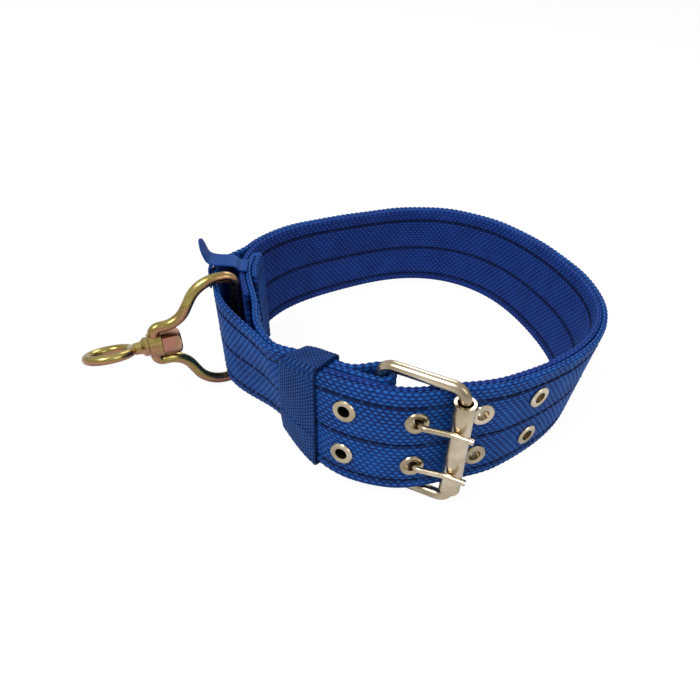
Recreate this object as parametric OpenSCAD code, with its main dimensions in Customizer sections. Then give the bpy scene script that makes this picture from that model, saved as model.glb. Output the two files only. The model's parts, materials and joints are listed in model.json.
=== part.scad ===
// Buckled dog collar of double webbing, with a two-prong roller buckle and a swivel D-ring.
// +Z is up. The origin is the middle of the neck loop, level with the strap's bottom edge.

/* [Webbing] */
// Width of the webbing
strap_w = 50; // [46:1:60]
// Thickness of one ply of webbing
ply_t = 2.6; // [2:0.1:3]
// Gap left between two plies
ply_gap = 0.3; // [0.2:0.1:0.5]
// Gap between the tongue and the ply below it, which the washers fit in
tongue_gap = 1.1; // [1:0.1:1.5]
// How far the tongue reaches past the heel bar
tongue_len = 30; // [28:1:34]
// How far the folded end comes back past the heel bar
return_len = 128; // [122:1:134]
// Length of the hem at the folded end
hem_len = 24; // [14:1:26]
// Where the liner begins, measured from the heel bar
liner_start = 88; // [84:1:90]

/* [Neck loop] */
// Mean radius of the loop
loop_r = 83.5; // [78:0.5:100]
// How much longer the loop is one way than the other
oval = 1.8; // [0:0.2:4]
// How pointed the loop is, like an egg
egg = 1.4; // [0:0.2:3]
// How square the loop is
square = 3; // [0:0.2:4]
// Mean outward lean of the strap, in degrees
lean_mean = 1; // [-2:0.5:4]
// How much more the two sides lean out than the front and back
lean_sides = 5; // [0:0.5:8]
// How much more the right side leans out than the left
lean_right = 3.5; // [0:0.5:5]
// Extra outward lean where the strap is pulled through the keeper
lean_keeper = 12; // [0:1:16]

/* [Eyelets] */
// Height between the two eyelets of a pair
eyelet_spacing = 22.4; // [20:0.2:25.4]
// Distance from one pair to the next along the strap
eyelet_pitch = 27.5; // [26:0.5:30]
// Radius of the hole
eyelet_bore_r = 2.65; // [2.5:0.05:2.8]
// Radius of the flange
eyelet_flange_r = 5; // [4.6:0.1:5.6]
// Wall of the barrel
eyelet_wall = 0.5; // [0.4:0.05:0.6]

/* [Buckle] */
// Radius of the frame's wire
frame_wire_r = 2.4; // [2.2:0.1:2.6]
// Space between the frame's arms and the strap's edges
frame_side_gap = 2; // [0.6:0.1:3]
// Distance along the strap from the heel bar to the roller
buckle_reach = 33; // [32:0.5:35]
// Radius of the frame's corners
frame_corner_r = 5.5; // [4:0.5:6]
// Outer radius of the roller
roller_r = 4.4; // [4.2:0.1:5]
// Wall of the roller
roller_wall = 1.2; // [1:0.1:1.4]
// Radius of a prong
prong_r = 1.3; // [1.2:0.05:1.35]

/* [Keeper] */
// Width of the keeper at its lower edge
keeper_w = 27; // [20:1:28]
// Width of the keeper at its upper edge, where it is bunched
keeper_top_w = 15; // [12:1:24]
// Near edge of the keeper, measured from the heel bar
keeper_from = 22.5; // [21:0.5:24]
// Room around the strap inside the keeper
keeper_gap = 0.5; // [0.4:0.1:1]
// Thickness of the keeper band
keeper_t = 1.8; // [1.5:0.1:2.2]

/* [D-ring] */
// Radius of the ring's wire
dee_wire_r = 2.5; // [2.3:0.1:2.6]
// Where the bar sits, measured from the heel bar
dee_at = 98; // [96:0.5:100]
// Distance from the bar to the end of the ring
dee_reach = 41.5; // [40:0.5:46]
// Turn of the ring away from square to the strap, in degrees
dee_turn = 11; // [0:1:20]
// Space between the ring's arms and the strap's edges
dee_side_gap = 1; // [0.6:0.1:3]
// Slack of the outer ply over the bar
dee_slack = 1.5; // [0:0.5:5]

/* [Swivel] */
// Outer radius of the lead ring
eye_r = 11.5; // [11:0.5:14]
// Radius of the lead ring's wire
eye_wire_r = 2.1; // [2:0.1:2.3]
// Radius of the stem
stem_r = 2.9; // [2.7:0.1:3]
// Nut, across the flats
nut_af = 10.5; // [10:0.1:11]
// Turn of the lead ring about its stem, in degrees
eye_turn = 113; // [0:1:180]

/* [Hidden] */
$fn = 48;

// ---- The loop in plan ----
oval_dir = 60;       // directions of the loop's long axis, point and corners, in degrees
egg_dir = 54;
square_dir = 78;
heel_dir = 259.6;    // direction of the heel bar
lean_dir = 0;        // direction of the two sides that lean out
right_dir = -37;     // direction of the side that leans out more

function ease(x) = x <= 0 ? 0 : x >= 1 ? 1 : x * x * (3 - 2 * x);
function loop_radius(a) = loop_r + oval * cos(2 * (a - oval_dir))
    + egg * cos(3 * (a - egg_dir)) + square * cos(4 * (a - square_dir));
function loop_point(a) = loop_radius(a) * [cos(a), sin(a)];

// Length along the loop, clockwise from the heel bar, against direction
function running(steps, i = 0, sum = 0) = i == len(steps) ? [] :
    concat([sum], running(steps, i + 1, sum + steps[i]));
table_from = -60;
table_to = 430;
steps = [for (i = [table_from : table_to])
    norm(loop_point(heel_dir - i - 1) - loop_point(heel_dir - i))];
sums = running(steps);
zero_sum = sums[-table_from];
direction_table = [for (i = [table_from : table_to])
    [sums[i - table_from] - zero_sum, heel_dir - i]];
loop_len = sums[360 - table_from] - zero_sum;
function direction(s) = lookup(s, direction_table);
function route(s) = loop_point(direction(s));
function unit(v) = v / norm(v);
function left_of(v) = [-v[1], v[0]];
function route_out(s) = left_of(unit(route(s + 1) - route(s - 1)));
pull_at = 52;        // the keeper's pull is strongest here, and reaches this far each way
pull_half = 46;
function lapped(s) = s > loop_len / 2 ? s - loop_len : s;
function lean(s) = lean_mean + lean_sides * cos(2 * (direction(s) - lean_dir))
    + lean_right * cos(direction(s) - right_dir)
    + lean_keeper * ease(1 - abs(lapped(s) - pull_at) / pull_half);

// ---- Where each ply lies, measured outward from the loop ----
half_pair = (ply_t + ply_gap) / 2;                   // from the pair's middle to a ply's middle
pair_face = half_pair + ply_t / 2;                   // from the pair's middle to its outer face
under_tongue = -(2 * pair_face + tongue_gap);        // drop of the plies below the tongue
tongue_end = loop_len + tongue_len;
roller_s = loop_len - buckle_reach;
dip = 2;             // how far the roller presses the strap in
dip_half = 24;
function tongue_dip(s) = -dip * ease(1 - abs(s - roller_s) / dip_half);
climb_len = 20;      // length in which the plies rise beyond the tongue's end
function climb(s) = ease((s - tongue_len - 1) / climb_len);
function shift(s) = s < loop_len / 2 ? under_tongue * (1 - climb(s)) : tongue_dip(s);

bar_seat = ply_gap + dee_wire_r + strap_w / 2 * abs(sin(lean(dee_at)));
bar_off = -ply_gap / 2 + bar_seat;                   // middle of the D-ring's bar
dee_hump = bar_off + bar_seat - ply_gap / 2 + dee_slack;   // rise of the outer ply over the bar
hump_front = 44;     // length of the hump before and after the bar
hump_back = 36;
hump_flat = 5;       // length of its top before and after the bar
hump_flat_back = 14;
function hump(s) = s < dee_at ? ease((s - dee_at + hump_front) / (hump_front - hump_flat))
    : ease((dee_at + hump_back - s) / (hump_back - hump_flat_back));
function outer_off(s) = shift(s) + half_pair + dee_hump * hump(s);
function liner_off(s) = shift(s) - half_pair;

heel_front = under_tongue + half_pair;               // middle of the ply in front of the heel bar
bar_clear = ply_gap + strap_w / 2 * abs(sin(lean(0)));   // the bar is upright in the leaning fold
heel_turn = ply_t / 2 + bar_clear + frame_wire_r;        // from the bar's middle to the ply's middle
heel_off = heel_front - heel_turn;
heel_close = 16;     // length in which the two plies close up behind the bar
function return_off(s) = let (c = ease(s / heel_close))
    outer_off_flat(s) - 2 * heel_turn * (1 - c) - (ply_t + ply_gap) * (1 + climb_in(s)) * c;
function outer_off_flat(s) = shift(s) + half_pair;
function climb_in(s) = ease((s - liner_start + climb_len + 4) / climb_len);

heel = route(0) + heel_off * route_out(0);

// ---- Stations: [point, direction of lean, lean] along the strap's folded path ----
step = 4;            // plies share the stations at multiples of this, so they stay parallel
function stations(from, to) = concat([from],
    [for (s = [step * (floor(from / step) + 1) : step : to - 0.2]) s], [to]);
function backwards(list) = [for (i = [len(list) - 1 : -1 : 0]) list[i]];
function station(s, off) = [route(s) + off * route_out(s), route_out(s), lean(s)];
function turn(centre, r, from, to, n, s) = [for (i = [1 : n - 1])
    let (a = from + (to - from) * i / n) [centre + r * [cos(a), sin(a)], route_out(s), lean(s)]];
function angle_of(v) = atan2(v[1], v[0]);
hem_turn = (ply_t + ply_gap) / 2;
hem_mid = return_off(return_len) - hem_turn;
heel_angle = angle_of(route_out(0));
hem_angle = angle_of(route_out(return_len));
main_path = concat(
    [for (s = stations(return_len - hem_len, return_len)) station(s, return_off(s) - 2 * hem_turn)],
    turn(route(return_len) + hem_mid * route_out(return_len), hem_turn,
        hem_angle - 180, hem_angle - 360, 6, return_len),
    [for (s = backwards(stations(0, return_len))) station(s, return_off(s))],
    turn(heel, heel_turn, heel_angle + 180, heel_angle, 10, 0),
    [for (s = stations(0, tongue_end)) station(s, outer_off(s))]);
liner_path = [for (s = stations(liner_start, tongue_end - 1)) station(s, liner_off(s))];

// A band swept along a path: t thick, between heights low and high
function side_of(path, i) = let (n = len(path) - 1,
    v = path[min(i + 1, n)][0] - path[max(i - 1, 0)][0]) left_of(unit(v));
function lean_shift(st, z) = st[1] * (z - strap_w / 2) * sin(st[2]);
function lift(st, p, z) = let (q = p + lean_shift(st, z)) [q[0], q[1], z * cos(st[2])];
module band(path, t, low, high) {
    n = len(path);
    points = [for (i = [0 : n - 1]) let (st = path[i], u = side_of(path, i) * t / 2)
        each [lift(st, st[0] + u, low), lift(st, st[0] - u, low),
            lift(st, st[0] - u, high), lift(st, st[0] + u, high)]];
    sides = [for (i = [0 : n - 2]) for (k = [0 : 3]) let (a = 4 * i + k, b = 4 * i + (k + 1) % 4)
        each [[a, b, b + 4], [a, b + 4, a + 4]]];
    ends = [[3, 2, 1, 0], [for (k = [0 : 3]) 4 * (n - 1) + k]];
    polyhedron(points, concat(sides, ends), convexity = 8);
}

// ---- Places on the strap's outside ----
function strap_mid(s) = route(s) + shift(s) * route_out(s);
function strap_out(s) = left_of(unit(strap_mid(s + 2) - strap_mid(s - 2)));
function on_strap(s, z, off) = let (p = strap_mid(s) + off * strap_out(s)
    + route_out(s) * (z - strap_w / 2) * sin(lean(s))) [p[0], p[1], z * cos(lean(s))];
// Child's +Z points out of the strap
module facing_out(s, z, off) {
    translate(on_strap(s, z, off)) rotate([0, 90 + lean(s), angle_of(strap_out(s))]) children();
}

// ---- Eyelets ----
engaged = loop_len - 17;   // the pair that the prongs pass through
eyelet_s = [for (i = [0 : 3]) engaged + (1 - i) * eyelet_pitch];
eyelet_z = [strap_w / 2 + eyelet_spacing / 2, strap_w / 2 - eyelet_spacing / 2];
barrel_r = eyelet_bore_r + eyelet_wall;
hole_r = barrel_r + 0.1;
seat = 0.35;         // stand-off of a flange from the curved strap
flange_t = 0.7;
washer_t = 0.4;
barrel_tail = 0.1;   // the barrel is rolled over the washer by this much
washer_r = eyelet_flange_r - 0.4;

module eyelet_holes() {
    for (s = eyelet_s, z = eyelet_z) facing_out(s, z, 0)
        cylinder(h = 3 * pair_face, r = hole_r, center = true);
}
module eyelet() {
    low = -pair_face - seat - washer_t;
    high = pair_face + seat;
    rotate_extrude() polygon([[eyelet_bore_r, low - barrel_tail], [barrel_r, low - barrel_tail],
        [barrel_r, high], [eyelet_flange_r, high], [eyelet_flange_r - 0.3, high + flange_t * 0.7],
        [barrel_r + 0.8, high + flange_t], [eyelet_bore_r, high + flange_t * 0.6]]);
}
module washer() {
    rotate_extrude() translate([barrel_r + 0.05, -pair_face - seat - washer_t])
        square([washer_r - barrel_r - 0.05, washer_t]);
}
module eyelet_pair(i) {
    color("gainsboro") for (z = eyelet_z) facing_out(eyelet_s[i], z, 0) eyelet();
}
module washer_pair(i) {
    color("silver") for (z = eyelet_z) facing_out(eyelet_s[i], z, 0) washer();
}

// ---- Buckle ----
roller_clear = 0.25;
roller_gap = roller_clear + strap_w / 2 * abs(sin(lean(roller_s)));
roller_off = shift(roller_s) + pair_face + roller_gap + roller_r;
roller_at = route(roller_s) + roller_off * route_out(roller_s);
frame_len = norm(roller_at - heel);
frame_angle = angle_of(roller_at - heel);
frame_half = strap_w / 2 + frame_side_gap + frame_wire_r;
mid_z = strap_w / 2;

// A round rod through points in a plane. Its bends are a hair fatter and run onto the straights
bend_swell = 0.03;
function corner_cut(p, r, i) = let (a = unit(p[i - 1] - p[i]), b = unit(p[i + 1] - p[i]))
    r[i] / tan(acos(a * b) / 2);
module bent_rod(p, r, wire) {
    n = len(p) - 1;
    cut = [for (i = [0 : n]) i == 0 || i == n || r[i] == 0 ? 0 : corner_cut(p, r, i)];
    for (i = [0 : n - 1]) {
        v = unit(p[i + 1] - p[i]);
        from = p[i] + v * cut[i];
        translate([from[0], from[1], 0]) rotate([0, 90, angle_of(v)])
            cylinder(h = norm(p[i + 1] - p[i]) - cut[i] - cut[i + 1], r = wire);
    }
    for (i = [1 : max(1, n - 1)]) if (cut[i] > 0) {
        a = unit(p[i - 1] - p[i]);
        b = unit(p[i + 1] - p[i]);
        centre = p[i] + unit(a + b) * norm([r[i], cut[i]]);
        sweep = 180 - acos(a * b);
        left = a[0] * b[1] - a[1] * b[0] > 0;
        start = angle_of(left ? p[i] + b * cut[i] - centre : p[i] + a * cut[i] - centre);
        over = 0.3 / r[i] * 180 / PI;
        translate([centre[0], centre[1], 0]) rotate([0, 0, start - over])
            rotate_extrude(angle = sweep + 2 * over) translate([r[i], 0]) circle(r = wire + bend_swell);
    }
}
// Stands a flat piece up on edge at a place in plan, with its x axis along an angle
module upright(at, angle) {
    translate([at[0], at[1], mid_z]) rotate([0, 0, angle]) rotate([90, 0, 0]) children();
}
module buckle_frame() {
    color("gainsboro") upright(heel, frame_angle) {
        r = [0, frame_corner_r, frame_corner_r, frame_corner_r, frame_corner_r, 0];
        bent_rod([[0, 0], [0, frame_half], [frame_len, frame_half],
            [frame_len, -frame_half], [0, -frame_half], [0, 0]], r, frame_wire_r);
    }
}
roller_play = 0.6;
roller_len = 2 * (frame_half - frame_corner_r) - roller_play;
module roller() {
    color("silver") translate([roller_at[0], roller_at[1], mid_z]) difference() {
        cylinder(h = roller_len, r = roller_r, center = true);
        cylinder(h = roller_len + 1, r = roller_r - roller_wall, center = true);
    }
}

// A prong turns on the heel bar, rises through its eyelet and lies over the roller
prong_fit = 0.08;
prong_at = strap_mid(engaged);
prong_out = strap_out(engaged);
prong_along = left_of(prong_out);                    // from the heel bar towards the roller
function from_eyelet(along, out) = prong_at + along * prong_along + out * prong_out;
prong_side = 0.5;    // the prong stands nearer the roller's side of its hole
prong_tilt = 0.14;   // its slope inside the hole
prong_low = -pair_face - 3.2;
prong_high = pair_face + 2.6;
frame_dir = unit(roller_at - heel);
frame_out = left_of(-frame_dir);
roller_top = roller_at + frame_out * (roller_r + 0.15 + prong_r);
prong_points = [heel,
    from_eyelet(prong_side + prong_tilt * prong_low, prong_low),
    from_eyelet(prong_side + prong_tilt * prong_high, prong_high),
    roller_top - frame_dir * 2,
    roller_top + frame_dir * 7];
module prong(z) {
    ring_r = frame_wire_r + prong_fit + 2 * prong_r;
    ring_h = 2 * prong_r + 0.4;
    color("silver") translate([0, 0, z]) difference() {
        union() {
            bent_rod(prong_points, [0, 2.2, 3.5, 6, 0], prong_r);
            translate([heel[0], heel[1], 0]) cylinder(h = ring_h, r = ring_r, center = true);
        }
        translate([heel[0], heel[1], 0])
            cylinder(h = 2 * ring_h, r = frame_wire_r + prong_fit, center = true);
    }
}
prong_slot = 2 * prong_r + 1.2;
module prong_slots() {
    for (z = eyelet_z) translate([heel[0], heel[1], z * cos(lean(0))])
        rotate([0, 0, angle_of(route_out(0))])
            cube([2 * heel_turn + ply_t + 0.4, 15, prong_slot], center = true);
}

// ---- Webbing ----
module main_strap() {
    color("royalblue") difference() {
        band(main_path, ply_t, 0, strap_w);
        eyelet_holes();
        prong_slots();
    }
}
module liner() {
    color("mediumblue") difference() {
        band(liner_path, ply_t, 0, strap_w);
        eyelet_holes();
    }
}

// ---- Keeper: a closed band round all the plies ----
keeper_round = 1.5;
keeper_out = pair_face + keeper_gap;
function keeper_in(s) = shift(s) - pair_face - keeper_gap;
function keeper_s(part, z) = keeper_from + part * (keeper_w + (keeper_top_w - keeper_w) * z / strap_w);
keeper_low = keeper_round - keeper_gap;
keeper_high = strap_w + keeper_gap - keeper_round;
side_parts = 5;
// One turn of the band: [is it outside, height, offset from the corner's middle]
function keeper_ring(r) = [for (c = [0 : 3]) each concat(
    [for (i = [0 : 4]) let (a = 90 * c + 22.5 * i)
        [c == 0 || c == 3, (c < 2 ? keeper_high : keeper_low) + r * sin(a), r * cos(a)]],
    c % 2 == 0 ? [] : [for (k = [1 : side_parts - 1]) let (f = c == 1 ? 1 - k / side_parts : k / side_parts)
        [c == 3, keeper_low + (keeper_high - keeper_low) * f, c == 3 ? r : -r]])];
function keeper_point(part, q) = let (s = keeper_s(part, q[1]),
    x = q[2] + (q[0] ? keeper_out - keeper_round : keeper_in(s) + keeper_round),
    p = route(s) + (x + (q[1] - mid_z) * sin(lean(s))) * route_out(s)) [p[0], p[1], q[1] * cos(lean(s))];
module keeper() {
    rows = 7;
    m = len(keeper_ring(keeper_round));
    points = [for (j = [0 : rows], grow = [keeper_t, 0], q = keeper_ring(keeper_round + grow))
        keeper_point(j / rows, q)];
    function at(j, g, k) = (j * 2 + g) * m + k % m;
    faces = concat(
        [for (j = [0 : rows - 1], k = [0 : m - 1])
            each [[at(j, 0, k), at(j, 0, k + 1), at(j + 1, 0, k + 1)],
                [at(j, 0, k), at(j + 1, 0, k + 1), at(j + 1, 0, k)]]],
        [for (j = [0 : rows - 1], k = [0 : m - 1])
            each [[at(j, 1, k), at(j + 1, 1, k + 1), at(j, 1, k + 1)],
                [at(j, 1, k), at(j + 1, 1, k), at(j + 1, 1, k + 1)]]],
        [for (k = [0 : m - 1]) each [[at(0, 0, k), at(0, 1, k), at(0, 1, k + 1)],
            [at(0, 0, k), at(0, 1, k + 1), at(0, 0, k + 1)]]],
        [for (k = [0 : m - 1]) each [[at(rows, 0, k), at(rows, 1, k + 1), at(rows, 1, k)],
            [at(rows, 0, k), at(rows, 0, k + 1), at(rows, 1, k + 1)]]]);
    color("navy") polyhedron(points, faces, convexity = 6);
}

// ---- D-ring ----
dee = route(dee_at) + bar_off * route_out(dee_at);
dee_angle = angle_of(route_out(dee_at)) + dee_turn;
dee_half = strap_w / 2 + dee_side_gap + dee_wire_r;
dee_plate = 5.5;       // thickness of the boss that the stem turns in
dee_boss_r = 5.6;
dee_waist = dee_reach - 14.5;     // the sides run straight from here to the end
dee_waist_half = 8.9;
dee_shoulder = 16.5;   // where the sides turn in towards the waist
dee_end = dee_reach - dee_plate / 2;
dee_bends = [0, 3.2, 12, 15, 5, 5, 15, 12, 3.2, 0];
stem_gap = 0.1;
module d_ring() {
    color("darkkhaki") upright(dee, dee_angle) difference() {
        union() {
            bent_rod([[dee_end, 0], [dee_end, dee_waist_half], [dee_waist, dee_waist_half],
                [dee_shoulder, dee_half], [0, dee_half], [0, -dee_half], [dee_shoulder, -dee_half],
                [dee_waist, -dee_waist_half], [dee_end, -dee_waist_half], [dee_end, 0]],
                dee_bends, dee_wire_r);
            translate([dee_reach - dee_plate, 0, 0]) rotate([0, 90, 0])
                cylinder(h = dee_plate, r = dee_boss_r);
        }
        rotate([0, 90, 0]) cylinder(h = 2 * dee_reach, r = stem_r + stem_gap);
    }
}

// ---- Swivel: the lead ring's stem passes through the D-ring's end into a nut ----
nut_h = 8.5;
nut_clear = 0.3;
nut_from = dee_reach - dee_plate - nut_clear - nut_h;
nut_corner = nut_af / sqrt(3);
nut_end = 1.5;       // thickness of the nut's closed end
nut_chamfer = 1;
neck_len = 6;
neck_flange = 1.5;   // how far the neck's flange stands out, and its thickness
eye_sink = 1.2;      // how far the lead ring is sunk into its neck
module about_stem() {
    upright(dee, dee_angle) rotate([eye_turn, 0, 0]) children();
}
module swivel_eye() {
    collar = dee_reach + nut_clear;
    color("darkkhaki") about_stem() {
        translate([nut_from + nut_end, 0, 0]) rotate([0, 90, 0])
            cylinder(h = collar - nut_from, r = stem_r);
        translate([collar, 0, 0]) rotate([0, 90, 0]) rotate_extrude()
            polygon([[0, 0], [stem_r + neck_flange, 0], [stem_r + neck_flange, neck_flange],
                [stem_r, 2 * neck_flange], [stem_r - 0.2, neck_len], [0, neck_len]]);
        translate([collar + neck_len + eye_r - eye_sink, 0, 0]) rotate_extrude()
            translate([eye_r - eye_wire_r, 0]) circle(r = eye_wire_r);
    }
}
module swivel_nut() {
    color("olive") about_stem() translate([nut_from, 0, 0]) rotate([0, 90, 0])
        difference() {
            intersection() {
                cylinder(h = nut_h, r = nut_corner, $fn = 6);
                rotate_extrude() polygon([[0, 0], [nut_af / 2 - nut_chamfer / 2, 0],
                    [nut_corner, nut_chamfer], [nut_corner, nut_h], [0, nut_h]]);
            }
            translate([0, 0, nut_end]) cylinder(h = nut_h, r = stem_r);
        }
}

// ---- Tape loop: an arch from the inner plies' top edge to the outer ply, with a free tab ----
tape_t = 0.9;
tape_w = 11;
tape_at = dee_at + 13;
tape_seat = 0.35;    // space between the tape and the webbing
tape_rise = 4;
tab_len = 11;
tab_lean = 32;       // lean of the tab outwards, in degrees
module tape_loop() {
    top = strap_w + tape_rise;
    face = outer_off(tape_at) + ply_t / 2 + tape_seat;
    foot = liner_off(tape_at) - ply_t;
    t = tape_t;
    at = route(tape_at) + (mid_z * sin(lean(tape_at))) * route_out(tape_at);
    color("dodgerblue") translate([at[0], at[1], 0]) rotate([0, 0, angle_of(route_out(tape_at))])
        rotate([90, 0, 0]) linear_extrude(tape_w, center = true) {
            polygon([[foot, strap_w + tape_seat], [foot + 4, strap_w + tape_seat],
                [foot + 6, top - t], [face, top - t], [face, strap_w - 9], [face + t, strap_w - 9],
                [face + t, top - 1.5], [face + t + tab_len * sin(tab_lean), top + tab_len * cos(tab_lean) - 1],
                [face + tab_len * sin(tab_lean), top + tab_len * cos(tab_lean)],
                [face, top + 0.6], [foot + 5.5, top], [foot + 3.6, strap_w + tape_seat + t],
                [foot, strap_w + tape_seat + t]]);
        }
}

// ---- Stitches: each row is one raised line ----
thread = 0.7;        // height of a row of stitches
thread_t = 0.4;
stitch_gap = 0.3;
stitch_lift = ply_t / 2 + stitch_gap + thread_t / 2;
row_heights = [0.86, 0.48, 0.1];   // as parts of the webbing's width
row_from = 64;       // where the outside rows start, clear of the heel fold
row_to = roller_s - 12;
inner_from = return_len + 8;
inner_to = loop_len - 40;
end_row = 3;         // distance of the seam from the hem's fold, and from the edges
// Lies on one face of a ply: lift is positive on its outside
function laid_on(path, lift) = [for (i = [0 : len(path) - 1])
    [path[i][0] + side_of(path, i) * lift, path[i][1], path[i][2]]];
outer_row = [for (s = stations(row_from, row_to)) station(s, outer_off(s))];
inner_row = [for (s = stations(inner_from, inner_to)) station(s, liner_off(s))];
module stitch_row(i) {
    z = row_heights[i] * strap_w;
    color("midnightblue") {
        band(laid_on(outer_row, stitch_lift), thread_t, z - thread / 2, z + thread / 2);
        band(laid_on(inner_row, -stitch_lift), thread_t, z - thread / 2, z + thread / 2);
    }
}
module top_stitching() stitch_row(0);
module middle_stitching() stitch_row(1);
module bottom_stitching() stitch_row(2);
module end_stitching() {
    s = return_len + end_row;
    color("midnightblue") band(laid_on([station(s, liner_off(s)), station(s + thread, liner_off(s + thread))],
        -stitch_lift), thread_t, end_row, strap_w - end_row);
}

main_strap();
liner();
keeper();
tape_loop();
eyelet_pair(0);  // eyelets_1
eyelet_pair(1);  // eyelets_2
eyelet_pair(2);  // eyelets_3
eyelet_pair(3);  // eyelets_4
washer_pair(0);  // washers_1
washer_pair(1);  // washers_2
washer_pair(2);  // washers_3
washer_pair(3);  // washers_4
top_stitching();
middle_stitching();
bottom_stitching();
end_stitching();
buckle_frame();
roller();
prong(eyelet_z[0]);  // prong_upper
prong(eyelet_z[1]);  // prong_lower
d_ring();
swivel_eye();
swivel_nut();
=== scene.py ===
import json
import math
import bmesh
import bpy
import numpy as np
from mathutils import Matrix, Vector


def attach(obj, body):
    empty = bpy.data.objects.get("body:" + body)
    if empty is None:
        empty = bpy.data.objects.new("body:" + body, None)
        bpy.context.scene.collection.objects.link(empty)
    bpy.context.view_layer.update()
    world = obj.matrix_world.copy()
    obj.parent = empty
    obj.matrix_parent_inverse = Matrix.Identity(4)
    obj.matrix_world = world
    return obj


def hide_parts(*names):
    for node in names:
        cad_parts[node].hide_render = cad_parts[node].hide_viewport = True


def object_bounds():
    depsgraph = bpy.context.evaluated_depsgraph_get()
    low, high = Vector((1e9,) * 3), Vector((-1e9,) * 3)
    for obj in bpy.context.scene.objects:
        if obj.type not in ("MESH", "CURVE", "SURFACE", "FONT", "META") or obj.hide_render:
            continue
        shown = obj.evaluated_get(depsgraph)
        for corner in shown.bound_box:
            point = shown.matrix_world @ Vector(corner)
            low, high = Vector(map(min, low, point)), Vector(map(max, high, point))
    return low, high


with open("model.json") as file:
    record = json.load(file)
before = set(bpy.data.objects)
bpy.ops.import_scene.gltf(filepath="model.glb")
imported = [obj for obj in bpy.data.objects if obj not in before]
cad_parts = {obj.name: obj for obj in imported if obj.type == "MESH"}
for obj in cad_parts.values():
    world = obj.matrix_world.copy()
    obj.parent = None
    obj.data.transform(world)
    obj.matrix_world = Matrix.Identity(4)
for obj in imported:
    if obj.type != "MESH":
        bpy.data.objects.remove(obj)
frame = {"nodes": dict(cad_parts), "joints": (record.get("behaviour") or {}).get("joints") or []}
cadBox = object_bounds()
mm = 0.001
print("frame loaded")


# Shape of the strap: a closed loop seen from above, in millimetres
strap = {
    "width": 50.0, "ply": 2.6, "plyGap": 0.3, "tongueGap": 1.1, "tongue": 30.0,
    "fold": 128.0, "hem": 24.0, "linerStart": 88.0,
    "radius": 83.5, "oval": 1.8, "egg": 1.4, "square": 3.0,
    "lean": 1.0, "leanSides": 5.0, "leanRight": 3.5, "leanKeeper": 12.0,
    "buckleReach": 33.0, "wire": 2.4, "deeWire": 2.5, "deeAt": 98.0, "deeSlack": 1.5,
    "cell": 0.6,        # size of one face of the woven mesh
}
halfPair = (strap["ply"] + strap["plyGap"]) / 2
pairFace = halfPair + strap["ply"] / 2
underTongue = -(2 * pairFace + strap["tongueGap"])
midHeight = strap["width"] / 2


def ease(x):
    x = np.clip(x, 0, 1)
    return x * x * (3 - 2 * x)


def wave(angle, amount, count, at):
    return amount * np.cos(np.radians(count * (angle - at)))


def loopPoint(angle):
    r = strap["radius"] + wave(angle, strap["oval"], 2, 60)
    r = r + wave(angle, strap["egg"], 3, 54) + wave(angle, strap["square"], 4, 78)
    return np.stack([r * np.cos(np.radians(angle)), r * np.sin(np.radians(angle))], -1)


heelDirection = 259.6
turns = np.arange(-60, 431)                      # one degree each, clockwise from the heel bar
steps = np.linalg.norm(np.diff(loopPoint(heelDirection - turns), axis=0), axis=1)
sums = np.concatenate([[0], np.cumsum(steps)])
sums -= sums[60]
loopLength = sums[420]
rollerAt = loopLength - strap["buckleReach"]
engagedAt = loopLength - 17


def direction(s):
    return np.interp(s, sums, heelDirection - turns)


def route(s):
    return loopPoint(direction(s))


def unit(v):
    return v / np.linalg.norm(v, axis=-1, keepdims=True)


def leftOf(v):
    return np.stack([-v[..., 1], v[..., 0]], -1)


def outward(s):
    return leftOf(unit(route(s + 1) - route(s - 1)))


def leanOf(s):
    near = np.where(s > loopLength / 2, s - loopLength, s)
    sides = strap["leanSides"] * np.cos(np.radians(2 * direction(s)))
    right = strap["leanRight"] * np.cos(np.radians(direction(s) + 37))
    atKeeper = strap["leanKeeper"] * ease(1 - abs(near - 52) / 46)
    return np.radians(strap["lean"] + sides + right + atKeeper)


def shift(s):
    rising = underTongue * (1 - ease((s - strap["tongue"] - 1) / 20))
    pressed = -2 * ease(1 - abs(s - rollerAt) / 24)
    return np.where(s < loopLength / 2, rising, pressed)


leanAtDee = float(leanOf(np.array(strap["deeAt"])))
barSeat = strap["plyGap"] + strap["deeWire"] + midHeight * abs(math.sin(leanAtDee))
barOff = -strap["plyGap"] / 2 + barSeat
humpHeight = barOff + barSeat - strap["plyGap"] / 2 + strap["deeSlack"]


def hump(s):
    front = ease((s - strap["deeAt"] + 44) / 39)
    back = ease((strap["deeAt"] + 36 - s) / 22)
    return np.where(s < strap["deeAt"], front, back)


def outerOff(s):
    return shift(s) + halfPair + humpHeight * hump(s)


def linerOff(s):
    return shift(s) - halfPair


heelClear = strap["plyGap"] + midHeight * abs(math.sin(float(leanOf(np.array(0.0)))))
heelTurn = strap["ply"] / 2 + heelClear + strap["wire"]
heelOff = underTongue + halfPair - heelTurn


def returnOff(s):
    closed = ease(s / 16)
    inner = (strap["ply"] + strap["plyGap"]) * (1 + ease((s - strap["linerStart"] + 24) / 20))
    return shift(s) + halfPair - 2 * heelTurn * (1 - closed) - inner * closed


def station(s, off):                             # place in plan, and how far round the loop it is
    s = np.atleast_1d(np.asarray(s, float))
    return np.concatenate([route(s) + np.reshape(off, (-1, 1)) * outward(s), s[:, None]], 1)


def turnRound(centre, r, start, end, s, count):
    a = np.radians(np.linspace(start, end, count))
    return np.stack([centre[0] + r * np.cos(a), centre[1] + r * np.sin(a), np.full(count, s)], 1)


def angleOf(v):
    return math.degrees(math.atan2(v[1], v[0]))


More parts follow.
